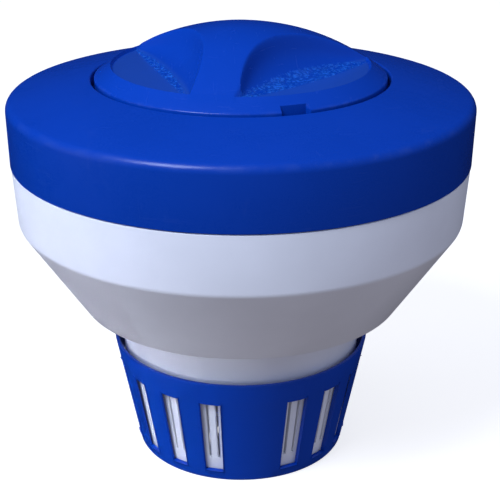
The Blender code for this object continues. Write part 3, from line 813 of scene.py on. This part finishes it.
def scoop_height(reach, across, inset):
    """A finger scoop's wall above the recess floor: an arc, then a steep straight top."""
    middle = max(0.0, 1 - (across / SCOOP_HALF_WIDTHS[across > 0]) ** 2)
    radius = SCOOP_R * middle + SCOOP_END_R + inset
    depth = SCOOP_FOOT - reach
    bend = radius * sin(SCOOP_STEEPEST)
    if depth <= 0:
        return 0.0
    if depth <= bend:
        return radius - sqrt(radius**2 - depth**2)
    return radius * (1 - cos(SCOOP_STEEPEST)) + (depth - bend) * tan(SCOOP_STEEPEST)


def grip_height(x, y, inset=0.0):
    """Height of the dome cut by the three scoops; inset moves every face inwards."""
    height = DOME_CENTRE_Z + sqrt((DOME_SPHERE_R - inset) ** 2 - hypot(x, y) ** 2)
    floor = RECESS_FLOOR_Z - inset
    for heading in RECESS_HEADINGS:
        reach = x * cos(heading) + y * sin(heading)
        across = y * cos(heading) - x * sin(heading)
        height = soft_min(height, floor + scoop_height(reach, across, inset), 1.0 * MM)
    return height


def lid_profile():
    """Rings from the top of the dome down the outside and back up inside, as (r, height rule)."""
    rings = []
    top_rings, ceiling_rings = 90, 26
    reaches = [DOME_FOOT_R * index / top_rings for index in range(1, top_rings)]
    for r in (*reaches, DOME_FOOT_R - 0.35 * MM):
        rings.append((r, grip_height))
    curb_r = DOME_FOOT_R + 0.5 * MM
    notch_z = DOME_FOOT_Z - (DOME_FOOT_Z - LID_RIM_Z) * (NOTCH_R - curb_r) / (LID_R - curb_r)
    for r, z in rounded([
        (curb_r, DOME_FOOT_Z),
        (NOTCH_R, notch_z),
        (LID_R, LID_RIM_Z, 0.75 * MM),
        (LID_R, LID_UNDERSIDE_Z, 0.3 * MM),
        (SKIRT_R, LID_UNDERSIDE_Z, 0.3 * MM),
        (SKIRT_R, SKIRT_Z, 0.5 * MM),
        (SKIRT_BORE_R, SKIRT_Z, 0.5 * MM),
    ]):
        rings.append((r, z))
    for index in range(ceiling_rings, 0, -1):
        r = SKIRT_BORE_R * index / ceiling_rings
        rings.append((r, lambda x, y: grip_height(x, y, SHELL_WALL)))
    return rings


def make_lid(material):
    """The cap as one closed skin.

    Each ring follows its height rule, and the notch pulls the rim's rings in.
    """
    near, far = NOTCH_HEADING - NOTCH_HALF, NOTCH_HEADING + NOTCH_HALF
    start = near - radians(0.18)
    keys = [start, near, far, far + NOTCH_DRAFT, start + 2 * pi]
    columns = angle_columns(keys, radians(0.78))[:-1]
    bm = bmesh.new()
    crown = bm.verts.new((0, 0, grip_height(0, 0)))
    ceiling = bm.verts.new((0, 0, grip_height(0, 0, SHELL_WALL)))
    rings = []
    for r, rule in lid_profile():
        ring = []
        for angle in columns:
            in_notch = near - 1e-6 <= angle <= far + 1e-6
            radius = min(r, NOTCH_R) if in_notch else r
            x, y = radius * cos(angle), radius * sin(angle)
            ring.append(bm.verts.new((x, y, rule(x, y) if callable(rule) else rule)))
        rings.append(ring)
    count = len(columns)
    for here, below in zip(rings, rings[1:]):
        for turn in range(count):
            ahead = (turn + 1) % count
            bm.faces.new((here[turn], below[turn], below[ahead], here[ahead]))
    for turn in range(count):
        ahead = (turn + 1) % count
        bm.faces.new((crown, rings[0][turn], rings[0][ahead]))
        bm.faces.new((ceiling, rings[-1][ahead], rings[-1][turn]))
    lid = object_from(bm, "lid_moulding")
    fit(lid, "lid", "lid_blue", material, "lid")


def make_gasket(material):
    """Flat ring with two sealing beads on each face."""
    low, high = GASKET_LOW[2], GASKET_HIGH[2]
    inner, outer = SKIRT_R + TOUCH_GAP, GASKET_HIGH[0]
    gasket = lathe("lid_gasket_ring", [
        (outer, high, 0.4 * MM),
        (outer, low, 0.4 * MM),
        (outer - 2.2 * MM, low),
        (outer - 2.8 * MM, low + 0.3 * MM),
        (inner + 2.8 * MM, low + 0.3 * MM),
        (inner + 2.2 * MM, low),
        (inner, low, 0.4 * MM),
        (inner, high, 0.4 * MM),
        (inner + 2.2 * MM, high),
        (inner + 2.8 * MM, high - 0.3 * MM),
        (outer - 2.8 * MM, high - 0.3 * MM),
        (outer - 2.2 * MM, high),
    ], segments=180)
    fit(gasket, "lid_seal", "seal_rubber", material, "lid_gasket")


def make_screws(material):
    """Six pan-head screws with cross recesses, turned out of one pattern."""
    head_z, head_top = LEDGE_Z + TOUCH_GAP, SCREW_HIGH[2]
    head_r, shank_r = 2.7 * MM, 1.4 * MM
    pattern = lathe("screw_pattern", [
        (0.0, head_top),
        (head_r * 0.62, head_top, 0.8 * MM),
        (head_r, head_z + 0.5 * MM, 0.3 * MM),
        (head_r, head_z, 0.1 * MM),
        (shank_r, head_z),
        (shank_r, SCREW_LOW[2] + 2.0 * MM),
        (0.0, SCREW_LOW[2]),
    ], segments=28, solid=True)
    cutters = []
    for size in ((3.0, 0.7, 2.2), (0.7, 3.0, 2.2)):
        bm = bmesh.new()
        bmesh.ops.create_cube(bm, size=1.0)
        bmesh.ops.scale(bm, verts=bm.verts, vec=Vector(size) * MM)
        bmesh.ops.translate(bm, verts=bm.verts, vec=(0, 0, head_top))
        cutter = object_from(bm, "cross_cutter")
        cut = pattern.modifiers.new("cross recess", "BOOLEAN")
        cut.object = cutter
        cutters.append(cutter)
    settled(pattern, "screw_pattern")
    for vert in pattern.data.vertices:
        vert.co.x += SCREW_RING_R
    screws = ring_of("flange_screws", pattern, SCREWS, material, pi / SCREWS)
    for cutter in cutters:
        bpy.data.objects.remove(cutter, do_unlink=True)
    names = [f"flange_screw_{index + 1}" for index in range(SCREWS)]
    fit(screws, "float", "screw_steel", material, *names)


# ---- Studio -------------------------------------------------------------------------------------
def area_light(name, place, aim, size, power, colour, mirrored=False, spread=pi):
    light = bpy.data.lights.new(name, "AREA")
    light.shape = "SQUARE"
    light.size = size
    light.spread = spread
    light.energy = power
    light.color = colour
    obj = bpy.data.objects.new(name, light)
    obj.location = place
    obj.rotation_euler = (Vector(aim) - Vector(place)).to_track_quat("-Z", "Y").to_euler()
    obj.visible_glossy = mirrored
    bpy.context.scene.collection.objects.link(obj)


def make_floor():
    """A pale seamless floor, seen by the camera but throwing no light back up at the underside."""
    bm = bmesh.new()
    bmesh.ops.create_grid(bm, x_segments=1, y_segments=1, size=12.0)
    floor = object_from(bm, "studio_floor")
    floor.visible_diffuse = False
    floor.visible_glossy = False
    paint = Finish("pale floor paint")
    colour = paint.mix(paint.noise(3.0, 2.0), (0.52, 0.47, 0.40), (0.54, 0.49, 0.42))
    pale = paint.feed(
        Base_Color=colour, Roughness=0.9, Specular_IOR_Level=0.0,
        Emission_Color=(0.97, 0.98, 1.0, 1.0), Emission_Strength=0.74,
    )
    floor.data.materials.append(pale)


def make_air():
    """Cool light from above and dim warm light from below, mostly kept out of reflections."""
    world = bpy.data.worlds.new("studio air")
    bpy.context.scene.world = world
    world.use_nodes = True
    maker = Maker(world.node_tree)
    direction = maker.add("ShaderNodeTexCoord", output="Generated")
    height = maker.add("ShaderNodeSeparateXYZ", inputs={0: direction}, output="Z")
    stops = [(0.40, (0.24, 0.22, 0.24)), (0.62, (0.32, 0.38, 0.58)), (1.0, (0.42, 0.50, 0.72))]
    glow = maker.add("ShaderNodeValToRGB", {"stops": stops}, {0: height * 0.5 + 0.5})
    mirrored = maker.add("ShaderNodeLightPath", output="Is Glossy Ray")
    sky = world.node_tree.nodes["Background"]
    world.node_tree.links.new(glow.socket, sky.inputs["Color"])
    world.node_tree.links.new((1.0 - mirrored * 0.97).socket, sky.inputs["Strength"])


def make_camera():
    data = bpy.data.cameras.new("camera")
    data.sensor_width = 36.0
    data.lens = 90.86
    data.shift_x = 0.0184
    camera = bpy.data.objects.new("camera", data)
    camera.location = (0.0, -0.500, 0.2918)
    camera.rotation_euler = (radians(90 - 22.33), 0.0, 0.0)
    bpy.context.scene.collection.objects.link(camera)
    bpy.context.scene.camera = camera


def make_studio():
    bpy.context.scene.view_settings.view_transform = "Standard"
    make_floor()
    make_air()
    make_camera()
    middle = (0, 0, 0.11)
    foot = (0, 0, 0.025)
    cool = (0.68, 0.78, 1.0)
    area_light("key softbox", (-0.688, -0.765, 1.336), middle, 0.6, 24.0, cool, mirrored=True)
    area_light("left fill", (-1.45, -0.26, 0.37), middle, 0.9, 7.0, (0.76, 0.82, 1.0))
    area_light("right fill", (1.28, -0.45, 0.74), middle, 1.3, 1.7, (0.74, 0.80, 1.0))
    area_light("low fill", (-0.91, -0.34, 0.05), foot, 0.12, 0.03, (0.78, 0.84, 1.0), spread=radians(13))


# ---- Everything ---------------------------------------------------------------------------------
def paint_hidden_nodes(seal, foam):
    """The seals and foam inside the float keep their CAD shapes."""
    for node, material in (
        ("seam_o_ring", seal),
        ("neck_o_ring", seal),
        ("flange_gasket", seal),
        ("foam_ring_upper", foam),
        ("foam_ring_lower", foam),
    ):
        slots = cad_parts[node].material_slots
        for slot in slots:
            slot.material = material


def main():
    blue = (0.0005, 0.045, 0.36)
    lid_plastic = moulded_plastic(
        "lid blue", blue, 0.26, [(LID_R, LID_RIM_Z, 1.6 * MM)], extra=eroded_grain_and_painted_sheen
    )
    collar_plastic = moulded_plastic(
        "collar blue", shade(blue, 0.93), 0.28,
        [(COLLAR_R - 1.0 * MM, SHOULDER_Z - 1.0 * MM, 2.2 * MM), (THROAT_R, THROAT_Z, 1.2 * MM)],
    )
    # The sleeve's blue is the lid's blue painted 5% lighter: painted light, standing in for light
    # bounced up from below.
    sleeve_plastic = moulded_plastic(
        "sleeve blue", shade(blue, 1.05), 0.36,
        [(SLEEVE_RIM_R, SLEEVE_RIM_Z, 1.5 * MM), (SLEEVE_FOOT_R, 0.0, 1.5 * MM)],
    )
    white = (0.85, 0.85, 0.86)
    dust = (0.42, 0.39, 0.36)
    bowl_plastic = moulded_plastic(
        "bowl white", white, 0.40, [(KEEL[0], KEEL[1], 2.0 * MM)], worn=dust, scuffing=0.8
    )
    canister_plastic = moulded_plastic(
        "canister white", (0.84, 0.84, 0.85), 0.42, worn=dust, scuffing=0.8
    )
    seal = rubber("seal rubber")
    make_collar(collar_plastic)
    make_bowl(bowl_plastic)
    make_canister(canister_plastic)
    make_grate(canister_plastic)
    make_retaining_ring(canister_plastic)
    make_sleeve(sleeve_plastic)
    make_lid(lid_plastic)
    make_threads(lid_plastic, canister_plastic)
    make_gasket(seal)
    make_screws(screw_steel("screw steel"))
    paint_hidden_nodes(seal, bead_foam("buoyancy foam"))
    make_studio()


main()
